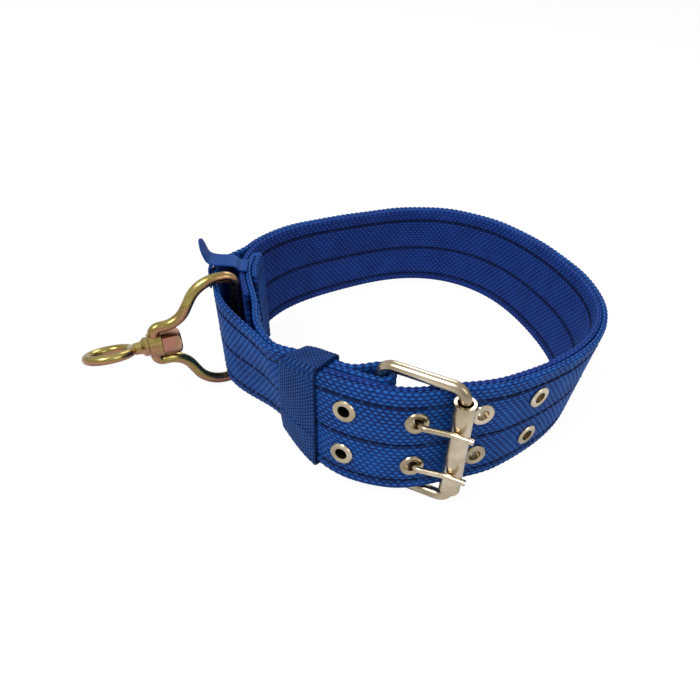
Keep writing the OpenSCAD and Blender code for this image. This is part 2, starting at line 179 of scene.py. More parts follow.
def outerPath():
    hemTurn = (strap["ply"] + strap["plyGap"]) / 2
    end = strap["fold"]
    away = outward(np.array([end]))[0]
    hemCentre = route(np.array([end]))[0] + (returnOff(np.array([end]))[0] - hemTurn) * away
    heelAway = outward(np.array([0.0]))[0]
    heel = route(np.array([0.0]))[0] + heelOff * heelAway
    s1 = np.arange(end - strap["hem"], end, 1.0)
    s2 = np.arange(end, 0, -1.0)
    s3 = np.arange(0, loopLength + strap["tongue"], 1.0)
    a, b = angleOf(away), angleOf(heelAway)
    return np.concatenate([
        station(s1, returnOff(s1) - 2 * hemTurn),
        turnRound(hemCentre, hemTurn, a - 180, a - 360, end, 9),
        station(s2, returnOff(s2)),
        turnRound(heel, heelTurn, b + 180, b, 0, 22),
        station(s3, outerOff(s3))]), len(s1) + 9 + len(s2) + 22


def linerPath():
    s = np.arange(strap["linerStart"], loopLength + strap["tongue"] - 1, 1.0)
    return station(s, linerOff(s)), 0


# Webbing: a flat tube round the path, with its weave raised in the mesh
def evenly(path, gap):
    length = np.concatenate([[0], np.cumsum(np.linalg.norm(np.diff(path[:, :2], axis=0), axis=1))])
    u = np.linspace(0, length[-1], int(length[-1] / gap) + 1)
    out = np.stack([np.interp(u, length, path[:, k]) for k in range(3)], 1)
    for _ in range(2):
        out[1:-1] = (out[:-2] + 2 * out[1:-1] + out[2:]) / 4
    return out, u, length


# Round the flat tube: across, height, the two parts of the outward direction, and the place on its face
def section(width, ply, gap):
    r = ply / 2
    flat = np.linspace(r, width - r, int((width - ply) / gap) + 1)
    bend = np.radians(np.arange(15, 180, 22))
    ring = [(r, z, 1, 0, z) for z in flat]
    ring += [(r * math.cos(a), width - r + r * math.sin(a), math.cos(a), math.sin(a), width - r + r * a)
             for a in bend]
    ring += [(-r, z, -1, 0, z) for z in flat[::-1]]
    ring += [(-r * math.cos(a), r - r * math.sin(a), -math.cos(a), -math.sin(a), r - r * a) for a in bend]
    return np.array(ring)


def newMesh(name, points, faces, uv=None):
    data = bpy.data.meshes.new(name)
    data.vertices.add(len(points))
    data.vertices.foreach_set("co", (np.asarray(points) * mm).astype(np.float32).ravel())
    sizes = np.array([len(f) for f in faces])
    flat = np.concatenate([np.asarray(f) for f in faces])
    data.loops.add(len(flat))
    data.loops.foreach_set("vertex_index", flat.astype(np.int32))
    data.polygons.add(len(sizes))
    starts = np.concatenate([[0], np.cumsum(sizes)[:-1]])
    data.polygons.foreach_set("loop_start", starts.astype(np.int32))
    data.polygons.foreach_set("use_smooth", np.ones(len(sizes), bool))
    if uv is not None:
        layer = data.uv_layers.new(name="thread")
        layer.data.foreach_set("uv", np.asarray(uv, np.float32)[flat].ravel())
    data.update(calc_edges=True)
    data.validate()
    piece = bpy.data.objects.new(name, data)
    bpy.context.scene.collection.objects.link(piece)
    return piece


def gridFaces(rows, columns, closed):
    last = columns if closed else columns - 1
    i, j = np.meshgrid(np.arange(rows - 1), np.arange(last), indexing="ij")
    k = (j + 1) % columns
    near, far = i * columns, (i + 1) * columns
    return np.stack([near + j, near + k, far + k, far + j], -1).reshape(-1, 4)


def endCaps(count, size):                        # close the two ends of a tube with a strip of quads
    faces = []
    for first in (0, (count - 1) * size):
        loop = np.arange(size) + first
        strip = [(loop[k], loop[k + 1], loop[size - 2 - k], loop[size - 1 - k]) for k in range(size // 2 - 1)]
        faces += [quad if first == 0 else quad[::-1] for quad in strip]
    return np.array(faces)


# One float of the yarn, how far it stands up, and how the stitches and eyelets press it in
weave = {"length": 2.9, "row": 1.75, "height": 0.42, "edge": 0.5, "groove": 0.62, "grooveWidth": 0.75,
         "eyeletFlat": 7.5, "eyeletFade": 2.5, "eyeletSink": 0.2, "ripple": 0.05}
rows = (0.86, 0.48, 0.10)                        # heights of the rows of stitches, as parts of the width


def brickWeave(u, v):
    row = np.floor(v / weave["row"])
    across = np.cos(math.pi * (v / weave["row"] - row - 0.5))
    along = 0.5 + 0.5 * np.cos(2 * math.pi * (u / weave["length"] + 0.5 * (row % 2)) + 0.5 * across)
    return weave["height"] * (0.35 * across + 0.75 * across ** 0.5 * along ** 0.5 - 0.75)


def grooves(v):                                  # the stitches pull the webbing in
    return sum(np.exp(-((v - strap["width"] * r) / weave["grooveWidth"]) ** 2) for r in rows)


def webbing(name, path, start, grooveSide, pressed):
    path, u, length = evenly(path, strap["cell"])
    ring = section(strap["width"], strap["ply"], strap["cell"])
    along = unit(np.gradient(path[:, :2], axis=0))
    side = leftOf(along)
    away, lean = outward(path[:, 2]), leanOf(path[:, 2])
    run = u >= length[start] - 0.01
    us, vs = np.meshgrid(u, ring[:, 4], indexing="ij")
    a, z, na, nz = (np.broadcast_to(ring[:, k], us.shape) for k in range(4))
    rise = brickWeave(us, vs)
    rise = rise * (1 + weave["edge"] * (abs(nz) > 0.3))      # the edges are chunkier, like cords
    rise = rise - weave["groove"] * grooves(vs) * (na * grooveSide > 0.5) * run[:, None]
    rise = rise + weave["ripple"] * np.sin(us * 0.21 + 1.3 * np.sin(vs * 0.11)) * (abs(nz) < 0.1)
    for at, height in pressed:                   # round an eyelet the webbing is squeezed flat
        near = np.hypot(path[:, 2][:, None] - at, vs - height)
        squeeze = ease((weave["eyeletFlat"] - near) / weave["eyeletFade"]) * (abs(nz) < 0.1) * run[:, None]
        rise = rise * (1 - squeeze) - weave["eyeletSink"] * squeeze
    wander = 0.25 * np.sin(u * 0.047 + start) + 0.12 * np.sin(u * 0.19)     # the edges aren't quite straight
    a = a + na * rise
    z = z + nz * (rise + wander[:, None] * (nz > 0))
    tilt = (z - midHeight) * np.sin(lean)[:, None]
    points = np.empty(us.shape + (3,))
    for k in (0, 1):
        points[..., k] = path[:, k][:, None] + side[:, k][:, None] * a + away[:, k][:, None] * tilt
    points[..., 2] = z * np.cos(lean)[:, None]
    count, size = us.shape
    points = points.reshape(-1, 3)
    faces = np.concatenate([gridFaces(count, size, True)[:, ::-1], endCaps(count, size)])
    uv = np.stack([us.ravel() / 1000, vs.ravel() / 1000], 1)
    return newMesh(name, points, faces, uv)


def cutWith(piece, cutter):
    cut = piece.modifiers.new("holes", "BOOLEAN")
    cut.object, cut.operation, cut.solver = cutter, "DIFFERENCE", "MANIFOLD"
    bpy.context.view_layer.update()
    graph = bpy.context.evaluated_depsgraph_get()
    done = bpy.data.meshes.new_from_object(piece.evaluated_get(graph))
    piece.modifiers.clear()
    piece.data = done


eyelets = {"pitch": 27.5, "rise": 11.2, "hole": 3.25, "drill": 9.0}
prongSlot = {"length": 11.6, "depth": 15.0, "height": 3.9}   # in the fold round the heel bar
eyeletPlaces = [(engagedAt + (1 - i) * eyelets["pitch"], midHeight + k * eyelets["rise"])
                for i in range(4) for k in (1, -1)]


def strapMiddle(s):
    return route(s) + shift(s)[:, None] * outward(s)


def eyeletAxis(s, z):
    s = np.array([s])
    out = leftOf(unit(strapMiddle(s + 2) - strapMiddle(s - 2)))[0]
    lean = float(leanOf(s)[0])
    p = strapMiddle(s)[0] + outward(s)[0] * (z - midHeight) * math.sin(lean)
    axis = Vector((out[0] * math.cos(lean), out[1] * math.cos(lean), -math.sin(lean)))
    return Vector((p[0], p[1], z * math.cos(lean))), axis


def cutters():
    made = bmesh.new()
    for s, z in eyeletPlaces:
        place, axis = eyeletAxis(s, z)
        turn = axis.to_track_quat("Z", "Y").to_matrix().to_4x4()
        r = eyelets["hole"] * mm
        bmesh.ops.create_cone(made, cap_ends=True, segments=40, radius1=r, radius2=r,
                              depth=eyelets["drill"] * mm, matrix=Matrix.Translation(place * mm) @ turn)
    heelAway = outward(np.array([0.0]))[0]
    heel = route(np.array([0.0]))[0] + heelOff * heelAway
    turn = Matrix.Rotation(math.radians(angleOf(heelAway)), 4, "Z")
    size = [prongSlot[side] * mm for side in ("length", "depth", "height")]
    for k in (1, -1):
        z = (midHeight + k * eyelets["rise"]) * math.cos(float(leanOf(np.array(0.0))))
        place = Matrix.Translation(Vector((heel[0], heel[1], z)) * mm) @ turn
        bmesh.ops.create_cube(made, size=1, matrix=place @ Matrix.Diagonal((*size, 1)))
    data = bpy.data.meshes.new("cutters")
    made.to_mesh(data)
    made.free()
    piece = bpy.data.objects.new("cutters", data)
    bpy.context.scene.collection.objects.link(piece)
    return piece


holes = cutters()
outerLine, outerStart = outerPath()
outerWebbing = webbing("outerWebbing", outerLine, outerStart, 1, eyeletPlaces)
cutWith(outerWebbing, holes)
linerLine, linerStart = linerPath()
linerWebbing = webbing("linerWebbing", linerLine, linerStart, -1, eyeletPlaces)
cutWith(linerWebbing, holes)
bpy.data.objects.remove(holes)
print("webbing woven:", len(outerWebbing.data.polygons), len(linerWebbing.data.polygons), "faces")


# Keeper: a closed band, wider at its lower edge
keeper = {"width": 27.0, "topWidth": 15.0, "from": 22.5, "gap": 0.5, "thick": 1.8, "round": 1.5,
          "lap": 18.0, "lapStep": 0.5,     # the end is lapped over the outside below this height
          "edge": 0.9, "corner": 9, "tall": 90, "deep": 22, "across": 46}     # rounded edge; counts of points


def keeperBand():
    low, high = keeper["round"] - keeper["gap"], strap["width"] + keeper["gap"] - keeper["round"]
    outer = pairFace + keeper["gap"] - keeper["round"]
    quarter = np.radians(np.linspace(0, 90, keeper["corner"]))
    tall, deep = (np.linspace(0, 1, keeper[k])[1:-1] for k in ("tall", "deep"))
    around = []                                  # side (1 outside, 0 inside), height, direction in and up
    for c, (side, z) in enumerate(((1, high), (0, high), (0, low), (1, low))):
        around += [(side, z, math.cos(a + c * math.pi / 2), math.sin(a + c * math.pi / 2)) for a in quarter]
        if c == 0:
            around += [(1 - f, high, 0, 1) for f in deep]
        if c == 1:
            around += [(0, high + (low - high) * f, -1, 0) for f in tall]
        if c == 2:
            around += [(f, low, 0, -1) for f in deep]
        if c == 3:
            around += [(1, low + (high - low) * f, 1, 0) for f in tall]
    around = np.array(around)
    across = np.linspace(0, 1, keeper["across"])
    edge = np.minimum(across, 1 - across) * keeper["width"]
    rounding = np.clip(1 - (1 - np.minimum(edge / keeper["edge"], 1)) ** 2, 0, 1)
    rounded = keeper["thick"] / 2 * np.sqrt(rounding)
    step = np.hypot(np.diff(around[:, 0]) * 14, np.diff(around[:, 1])) + 0.25
    run = np.concatenate([[0], np.cumsum(step)])
    sheets = []
    for face in (1, -1):
        us, bs = np.meshgrid(run, across, indexing="ij")
        v = bs * keeper["width"]
        rise = brickWeave(us, v)
        lap = (around[:, 0] == 1) & (abs(around[:, 3]) < 0.01) & (around[:, 1] < keeper["lap"])
        rise = rise + keeper["lapStep"] * lap[:, None] * (face > 0)
        grow = keeper["thick"] / 2 + face * (rounded[None, :] + rise * (rounded[None, :] > 0.6))
        r = keeper["round"] + grow
        z = around[:, 1][:, None] + r * around[:, 3][:, None]
        taper = (keeper["topWidth"] - keeper["width"]) * z / strap["width"]
        s = keeper["from"] + bs * (keeper["width"] + taper)
        flat = s.ravel()
        innerX = (shift(flat) - pairFace - keeper["gap"]).reshape(s.shape) + keeper["round"]
        side = around[:, 0][:, None]
        x = side * outer + (1 - side) * innerX + r * around[:, 2][:, None]
        lean = leanOf(flat).reshape(s.shape)
        lifted = x + (z - midHeight) * np.sin(lean)
        plan = route(flat) + lifted.reshape(-1, 1) * outward(flat)
        sheets.append(np.column_stack([plan, (z * np.cos(lean)).ravel()]))
    n, m = len(around), len(across)
    i, j = np.meshgrid(np.arange(n), np.arange(m - 1), indexing="ij")
    k = (i + 1) % n
    outerFaces = np.stack([i * m + j, i * m + j + 1, k * m + j + 1, k * m + j], -1).reshape(-1, 4)
    innerFaces = outerFaces[:, ::-1] + n * m
    rims = []
    for j, flip in ((0, False), (m - 1, True)):
        i = np.arange(n)
        k = (i + 1) % n
        quad = np.stack([i * m + j, k * m + j, k * m + j + n * m, i * m + j + n * m], -1)
        rims.append(quad[:, ::-1] if flip else quad)
    us, bs = np.meshgrid(run, across * keeper["width"], indexing="ij")
    uv = np.tile(np.stack([us.ravel(), bs.ravel()], 1) / 1000, (2, 1))
    faces = np.concatenate([outerFaces, innerFaces] + rims)
    return newMesh("keeperBand", np.concatenate(sheets), faces, uv)


keeperPiece = keeperBand()
print("keeper woven")


# Tape loop: one ribbon arches over the edge and ends in a free tab, and one goes down outside
tape = {"at": 111.0, "width": 11.0, "thick": 0.9, "seat": 0.35, "rise": 4.0, "tab": 12.0, "tabLean": 18.0,
        "rib": 1.1, "ribHeight": 0.05, "cell": 0.45, "points": 90, "legDown": 8.5}


def smoothLine(points, count):
    points = np.array(points, float)
    t = np.linspace(0, len(points) - 1, count)
    padded = np.concatenate([2 * points[:1] - points[1:2], points, 2 * points[-1:] - points[-2:-1]])
    i = np.minimum(t.astype(int), len(points) - 2)
    f = (t - i)[:, None]
    p0, p1, p2, p3 = (padded[i + k] for k in range(4))
    square, cube = 2 * p0 - 5 * p1 + 4 * p2 - p3, 3 * p1 - p0 - 3 * p2 + p3
    return 0.5 * (2 * p1 + (p2 - p0) * f + square * f ** 2 + cube * f ** 3)


def ribbon(line, width, thick, roundEnd):
    line = smoothLine(line, tape["points"])
    along = unit(np.gradient(line, axis=0))
    up = leftOf(along)
    u = np.concatenate([[0], np.cumsum(np.linalg.norm(np.diff(line, axis=0), axis=1))])
    half = np.full(len(u), width / 2)
    if roundEnd:
        left = np.clip((u[-1] - u) / (width / 2), 0.02, 1)
        half = half * np.sqrt(1 - (1 - left) ** 2)
    ring = section(width, thick, tape["cell"])
    points, uv = [], []
    for i in range(len(u)):
        y = (ring[:, 1] / width * 2 - 1) * half[i]
        rib = tape["ribHeight"] * np.cos(2 * math.pi * ring[:, 1] / tape["rib"]) * (abs(ring[:, 2]) > 0.9)
        a = ring[:, 0] + ring[:, 2] * rib
        points.append(np.column_stack([line[i, 0] + up[i, 0] * a, y, line[i, 1] + up[i, 1] * a]))
        uv.append(np.column_stack([np.full(len(ring), u[i]), ring[:, 4]]) / 1000)
    faces = np.concatenate([gridFaces(len(u), len(ring), True)[:, ::-1], endCaps(len(u), len(ring))])
    return np.concatenate(points), faces, np.concatenate(uv)


def tapeLoop():
    at = np.array([tape["at"]])
    top = strap["width"] + tape["rise"]
    half = tape["thick"] / 2
    face = float(outerOff(at)[0]) + strap["ply"] / 2 + tape["seat"] + half
    foot = float(linerOff(at)[0]) - strap["ply"]
    low = strap["width"] + tape["seat"] + half + 0.2
    lean = math.radians(tape["tabLean"])
    tip = (face + tape["tab"] * math.sin(lean), top + tape["tab"] * math.cos(lean) - 1)
    arch = [(foot, low), (foot + 3, low + 0.1), (foot + 5.5, top - 0.9), (foot + 9, top - 0.3),
            (face - 3, top), (face + 0.4, top + 1.4),
            ((face + tip[0]) / 2 + 0.3, (top + tip[1]) / 2), tip]
    leg = [(face - 1.5, top - 1.1), (face, top - 2.2), (face + 0.1, top - 6),
           (face, strap["width"] - tape["legDown"])]
    parts = [ribbon(line, tape["width"], tape["thick"], roundEnd)
             for line, roundEnd in ((arch, True), (leg, False))]
    points = np.concatenate([p[0] for p in parts])
    faces = np.concatenate([parts[0][1], parts[1][1] + len(parts[0][0])])
    uv = np.concatenate([p[2] for p in parts])
    away = outward(at)[0]
    base = route(at)[0] + away * midHeight * math.sin(float(leanOf(at)[0]))
    across = np.array([away[1], -away[0]])
    plan = base + points[:, :1] * away + points[:, 1:2] * across
    return newMesh("tapeLoop", np.column_stack([plan, points[:, 2]]), faces, uv)


tapePiece = tapeLoop()
print("tape made")


# Stitches: short threads that dip into the webbing at each end
stitch = {"pitch": 4.2, "length": 3.5, "radius": 0.33, "dip": 0.45, "sink": 0.12, "seamSink": 0.05,
          "points": 7, "from": 53.0, "beforeRoller": 12.0, "afterRoller": 14.0, "pastHeel": 20.0,
          "afterFold": 8.0, "beforeTongue": 40.0, "seamIn": 3.0}


def stitches(place, first, last):
    points, faces = [], []
    ring = np.radians(np.arange(0, 360, 60))
    count = stitch["points"]
    for centre in np.arange(first, last, stitch["pitch"]):
        t = np.linspace(-1, 1, count)
        start = sum(len(p) for p in points)
        line, out = place(centre + t * stitch["length"] / 2)
        along = unit(np.gradient(line, axis=0))
        third = np.cross(along, out)
        dip = -stitch["dip"] * t ** 4
        thick = stitch["radius"] * np.sqrt(np.clip(1 - 0.75 * t ** 6, 0.1, 1))
        for i in range(count):
            spread = np.outer(np.cos(ring), out[i]) + np.outer(np.sin(ring), third[i])
            points.append(line[i] + out[i] * dip[i] + thick[i] * spread)
        faces += [list(f) for f in gridFaces(count, 6, True) + start]
        faces += [[start + k for k in range(6)], [start + (count - 1) * 6 + k for k in range(5, -1, -1)]]
    return np.concatenate(points), faces


def rowPlace(z, offOf, lift, side):
    def place(s):
        lean = leanOf(s)
        p = station(s, offOf(s))[:, :2]
        ahead, behind = (station(s + d, offOf(s + d))[:, :2] for d in (0.5, -0.5))
        out = leftOf(unit(ahead - behind)) * side
        plan = p + out * lift + outward(s) * ((z - midHeight) * np.sin(lean))[:, None]
        return np.column_stack([plan, z * np.cos(lean)]), np.column_stack([out, np.zeros(len(s))])
    return place


def stitchRows(name, height):
    z = height * strap["width"]
    lift = strap["ply"] / 2 - stitch["sink"]
    spans = [(outerOff, 1, stitch["from"], rollerAt - stitch["beforeRoller"]),
             (outerOff, 1, rollerAt + stitch["afterRoller"], loopLength + stitch["pastHeel"]),
             (linerOff, -1, strap["fold"] + stitch["afterFold"], loopLength - stitch["beforeTongue"])]
    points, faces = [], []
    for offOf, side, first, last in spans:
        p, f = stitches(rowPlace(z, offOf, lift, side), first, last)
        start = sum(len(q) for q in points)
        points.append(p)
        faces += [[k + start for k in one] for one in f]
    return newMesh(name, np.concatenate(points), faces)


threadNames = ("topStitches", "middleStitches", "bottomStitches")
threadPieces = [stitchRows(name, height) for name, height in zip(threadNames, rows)]


def endSeam():
    s = strap["fold"] + stitch["seamIn"]

    def place(z):
        one = np.full(len(z), float(s))
        lean = leanOf(one)
        plan = station(one, linerOff(one))[:, :2]
        out = -outward(one)
        plan = plan + out * (strap["ply"] / 2 - stitch["seamSink"])
        plan = plan + outward(one) * ((z - midHeight) * np.sin(lean))[:, None]
        return np.column_stack([plan, z * np.cos(lean)]), np.column_stack([out, np.zeros(len(z))])
    return newMesh("endStitches", *stitches(place, 4, strap["width"] - 3))


threadPieces.append(endSeam())
print("stitches sewn")


# Materials
def perMetre(size):                              # how many of a pattern's marks, given in mm, lie in a metre
    return 1000 / size


def linear(code):
    parts = [int(code[i:i + 2], 16) / 255 for i in (1, 3, 5)]
    return tuple(c / 12.92 if c <= 0.04045 else ((c + 0.055) / 1.055) ** 2.4 for c in parts) + (1,)


def addNode(tree, kind, inputs=None, stops=(), **settings):     # stops are a ramp's places and colours
    node = tree.nodes.new("ShaderNode" + kind)
    for key, value in settings.items():
        setattr(node, key, value)
    for key, value in (inputs or {}).items():
        if isinstance(value, bpy.types.NodeSocket):
            tree.links.new(value, node.inputs[key])
        else:
            node.inputs[key].default_value = value
    if stops:
        elements = node.color_ramp.elements
        while len(elements) < len(stops):
            elements.new(0.5)
        for element, (at, code) in zip(elements, stops):
            element.position, element.color = at, linear(code)
    return node


def startMaterial(name, **shader):
    material = bpy.data.materials.new(name)
    material.use_nodes = True
    tree = material.node_tree
    bsdf = tree.nodes["Principled BSDF"]
    for key, value in shader.items():
        bsdf.inputs[key.replace("_", " ")].default_value = value
    return material, tree, bsdf


def wovenMaterial(name, spec, pattern):          # pattern gives 0 in the gaps and 1 on top of the yarn
    material, tree, bsdf = startMaterial(name, Sheen_Weight=spec["sheen"], Sheen_Roughness=0.4,
                                         Specular_IOR_Level=0.22, Sheen_Tint=linear("#4C8CE0"))
    place = addNode(tree, "UVMap", uv_map="thread").outputs[0]
    high = pattern(tree, place)
    blotch = addNode(tree, "TexNoise", {"Vector": place, "Scale": blotchScale, "Detail": 4.0}).outputs[0]
    fibrePlace = addNode(tree, "Mapping", {"Vector": place, "Scale": spec["fibreScale"]}).outputs[0]
    fibres = addNode(tree, "TexNoise", {"Vector": fibrePlace, "Scale": 1.0, "Detail": 2.0}).outputs[0]
    worn = addNode(tree, "Math", {0: blotch, 1: 0.42}, operation="MULTIPLY").outputs[0]
    # the colour runs from painted shade in the gaps between floats to the yarn's own blue on top of them, with
    # random blotches
    tone = addNode(tree, "Math", {0: high, 1: 0.78, 2: worn}, operation="MULTIPLY_ADD").outputs[0]
    base = addNode(tree, "ValToRGB", {0: tone}, stops=spec["colours"]).outputs[0]
    height = addNode(tree, "SeparateXYZ", {0: place}).outputs[1]
    for seam in spec["seamShadeHeights"]:                   # painted shade: darker along each row of stitches, where the cloth is pulled into a groove
        below = addNode(tree, "Math", {0: height, 1: seam * mm}, operation="SUBTRACT").outputs[0]
        away = addNode(tree, "Math", {0: below}, operation="ABSOLUTE").outputs[0]
        shade = addNode(tree, "MapRange", {"Value": away, "From Min": 0.4 * mm, "From Max": 1.6 * mm,
                                           "To Min": 0.42, "To Max": 1.0}).outputs[0]
        base = addNode(tree, "Mix", {"Factor": 1.0, 6: base, 7: shade}, data_type="RGBA",
                       blend_type="MULTIPLY").outputs[2]
    flecks = addNode(tree, "ValToRGB", {0: fibres}, stops=spec["fibreColours"]).outputs[0]
    fine = addNode(tree, "Mix", {"Factor": 0.3, 6: base, 7: flecks}, data_type="RGBA", blend_type="OVERLAY")
    tree.links.new(fine.outputs[2], bsdf.inputs["Base Color"])
    rough = addNode(tree, "MapRange", {"Value": high, "To Min": 0.85, "To Max": spec["shine"]}).outputs[0]
    tree.links.new(rough, bsdf.inputs["Roughness"])
    bump = addNode(tree, "Bump", {"Strength": 0.5, "Distance": 0.15 * mm, "Height": fibres}).outputs[0]
    tree.links.new(bump, bsdf.inputs["Normal"])
    return material


def brickPattern(tree, place):                   # the same brick-like floats that the mesh has
    split = addNode(tree, "SeparateXYZ", {0: place})
    v = addNode(tree, "Math", {0: split.outputs[1], 1: perMetre(weave["row"])},
                operation="MULTIPLY").outputs[0]
    row = addNode(tree, "Math", {0: v}, operation="FLOOR").outputs[0]
    odd = addNode(tree, "Math", {0: row, 1: 2.0}, operation="FLOORED_MODULO").outputs[0]
    half = addNode(tree, "Math", {0: odd, 1: 0.5}, operation="MULTIPLY").outputs[0]
    u = addNode(tree, "Math", {0: split.outputs[0], 1: perMetre(weave["length"]), 2: half},
                operation="MULTIPLY_ADD").outputs[0]
    part = addNode(tree, "Math", {0: v}, operation="FRACT").outputs[0]
    halfTurn = addNode(tree, "Math", {0: part, 1: math.pi}, operation="MULTIPLY").outputs[0]
    across = addNode(tree, "Math", {0: halfTurn}, operation="SINE").outputs[0]
    wholeTurn = addNode(tree, "Math", {0: u, 1: 2 * math.pi}, operation="MULTIPLY").outputs[0]
    swing = addNode(tree, "Math", {0: wholeTurn}, operation="COSINE").outputs[0]
    along = addNode(tree, "Math", {0: swing, 1: 0.5, 2: 0.5}, operation="MULTIPLY_ADD").outputs[0]
    crown = addNode(tree, "Math", {0: across, 1: 0.8}, operation="POWER").outputs[0]
    yarn = addNode(tree, "Math", {0: along, 1: 0.75, 2: 0.25}, operation="MULTIPLY_ADD").outputs[0]
    return addNode(tree, "Math", {0: crown, 1: yarn}, operation="MULTIPLY").outputs[0]


def ribPattern(tree, place):                     # fine ribs along the tape, with painted shade in the grooves between them
    height = addNode(tree, "SeparateXYZ", {0: place}).outputs[1]
    rib = addNode(tree, "Math", {0: height, 1: 2 * math.pi * perMetre(tape["rib"])}, operation="MULTIPLY")
    swing = addNode(tree, "Math", {0: rib.outputs[0]}, operation="COSINE").outputs[0]
    return addNode(tree, "Math", {0: swing, 1: 0.3, 2: 0.7}, operation="MULTIPLY_ADD").outputs[0]


# Heights of the rows of stitches, along which painted shade darkens the cloth
seamShadeHeights = [r * strap["width"] for r in rows]
yarnFlecks = [(0.3, "#36486C"), (0.7, "#A8B4C8")]
# Where the yarns are lighter or darker, 11.1 mm apart. A fibre is 1.43 mm long and 0.111 mm thick, which is
# longer and thicker than a real one, so that it shows.
blotchScale, fibreAcross = perMetre(11.1), perMetre(0.111)
webbingFibre = (perMetre(1.43), fibreAcross, 1)
# Woven polypropylene, royal blue: slightly glossy floats of the yarn's own blue over gaps painted near-black
# as shade, a little cool sheen at the edges
outerCloth = {"sheen": 0.08, "shine": 0.42, "fibreScale": webbingFibre, "seamShadeHeights": seamShadeHeights,
              "colours": [(0.22, "#020A34"), (0.42, "#053478"), (0.6, "#074C9E"), (0.95, "#1466B8")],
              "fibreColours": yarnFlecks}
# The same webbing turned inwards: the back of the weave, navy and duller
linerCloth = {"sheen": 0.06, "shine": 0.6, "fibreScale": webbingFibre, "seamShadeHeights": seamShadeHeights,
              "colours": [(0.2, "#0A1448"), (0.42, "#0E2C74"), (0.62, "#143E92"), (0.95, "#1E54A8")],
              "fibreColours": yarnFlecks}
# A narrower webbing of the same weave, with its own slightly greener tone, darkened as painted shade so the
# keeper stands out from the strap
shadedKeeperCloth = {"sheen": 0.06, "shine": 0.46, "fibreScale": (perMetre(1.11), fibreAcross, 1), "seamShadeHeights": [],
               "colours": [(0.2, "#010A2A"), (0.45, "#05285E"), (0.7, "#064086"), (0.98, "#105AA0")],
               "fibreColours": yarnFlecks}
# Polyester tape: bright blue and smooth, with only fine ribs to catch the light
tapeCloth = {"sheen": 0.12, "shine": 0.45, "fibreScale": (perMetre(0.667), fibreAcross, 1), "seamShadeHeights": [],
             "colours": [(0.1, "#03204E"), (0.5, "#053A80"), (0.9, "#0A4E9C")],
             "fibreColours": [(0.3, "#3A4C70"), (0.7, "#A8B4C8")]}


# Twisted polyester thread: dark blue and dull, with slanting bands. The twist is 1.11 mm, coarser than the
# real one, so that it shows.
threadTwist = {"pitch": 1.11, "colours": [(0.1, "#030A26"), (0.9, "#0A1E50")]}


def threadMaterial():
    material, tree, bsdf = startMaterial("polyesterThread", Roughness=0.75, Specular_IOR_Level=0.15)
    place = addNode(tree, "TexCoord").outputs["Object"]
    scale = perMetre(threadTwist["pitch"])
    twist = addNode(tree, "TexWave", {"Vector": place, "Scale": scale, "Distortion": 2.0},
                    bands_direction="DIAGONAL").outputs[1]
    base = addNode(tree, "ValToRGB", {0: twist}, stops=threadTwist["colours"]).outputs[0]
    tree.links.new(base, bsdf.inputs["Base Color"])
    bump = addNode(tree, "Bump", {"Strength": 0.6, "Distance": 0.1 * mm, "Height": twist}).outputs[0]
    tree.links.new(bump, bsdf.inputs["Normal"])
    return material


swivelAxis = next(Vector(joint["axis"]) for joint in frame["joints"] if joint["name"] == "swivel_spin")
grainScale = perMetre(0.667)                     # the real polishing grain is finer and wouldn't show


def metalMaterial(name, spec):
    material, tree, bsdf = startMaterial(name, Metallic=1.0)
    where = addNode(tree, "TexCoord")
    place = where.outputs["Object"]
    cloud = addNode(tree, "TexNoise", {"Vector": place, "Scale": perMetre(spec["cloud"]), "Detail": 2.0,
                                       "Distortion": spec["distortion"]}).outputs[0]
    grain = addNode(tree, "TexNoise", {"Vector": place, "Scale": grainScale, "Detail": 4.0}).outputs[0]
    # painted light: how far a surface faces up pushes its colour towards a gold-green highlight, and facing
    # down pushes it towards dark brown shade
    facing = addNode(tree, "SeparateXYZ", {0: where.outputs["Normal"]}).outputs[2]
    tone = addNode(tree, "Math", {0: facing, 1: spec["topLightByFacing"], 2: cloud},
                   operation="MULTIPLY_ADD").outputs[0]
    base = addNode(tree, "ValToRGB", {0: tone}, stops=spec["colours"]).outputs[0]
    if "end" in spec:                            # the nut's end that faces along the swivel axis towards the strap is made nearly black
        along = addNode(tree, "VectorMath", {0: where.outputs["Normal"], 1: tuple(-swivelAxis)},
                        operation="DOT_PRODUCT").outputs["Value"]
        onEnd = addNode(tree, "MapRange", {"Value": along, "From Min": 0.15, "From Max": 0.3}).outputs[0]
        base = addNode(tree, "Mix", {"Factor": onEnd, 6: base, 7: linear(spec["end"])},
                       data_type="RGBA").outputs[2]
    tree.links.new(base, bsdf.inputs["Base Color"])
    rough = addNode(tree, "MapRange", {"Value": grain, "From Min": 0.3, "From Max": 0.7,
                                       "To Min": spec["smooth"], "To Max": spec["rough"]}).outputs[0]
    tree.links.new(rough, bsdf.inputs["Roughness"])
    bump = addNode(tree, "Bump", {"Strength": spec["bump"], "Distance": 0.1 * mm, "Height": grain}).outputs[0]
    tree.links.new(bump, bsdf.inputs["Normal"])
    return material


# Nickel plate on bent wire: bright and slightly warm, with fine polishing grain
nickel = {"cloud": 16.7, "distortion": 0.5, "topLightByFacing": 0.0, "smooth": 0.17, "rough": 0.28, "bump": 0.06,
          "colours": [(0.3, "#97876F"), (0.5, "#C2B398"), (0.72, "#DCCFBA")]}
# Yellow-passivated zinc: its own pink and gold-green tones in slow waves, plus a painted highlight that turns
# it gold-green where it faces up and painted shade that turns it dark brown where it faces down
zinc = {"cloud": 23.8, "distortion": 0.6, "topLightByFacing": 0.2, "smooth": 0.2, "rough": 0.3, "bump": 0.06,
        "colours": [(0.30, "#5E4032"), (0.44, "#9C6C5A"), (0.55, "#AC8062"), (0.66, "#98884C"),
                    (0.80, "#C0B06C")]}
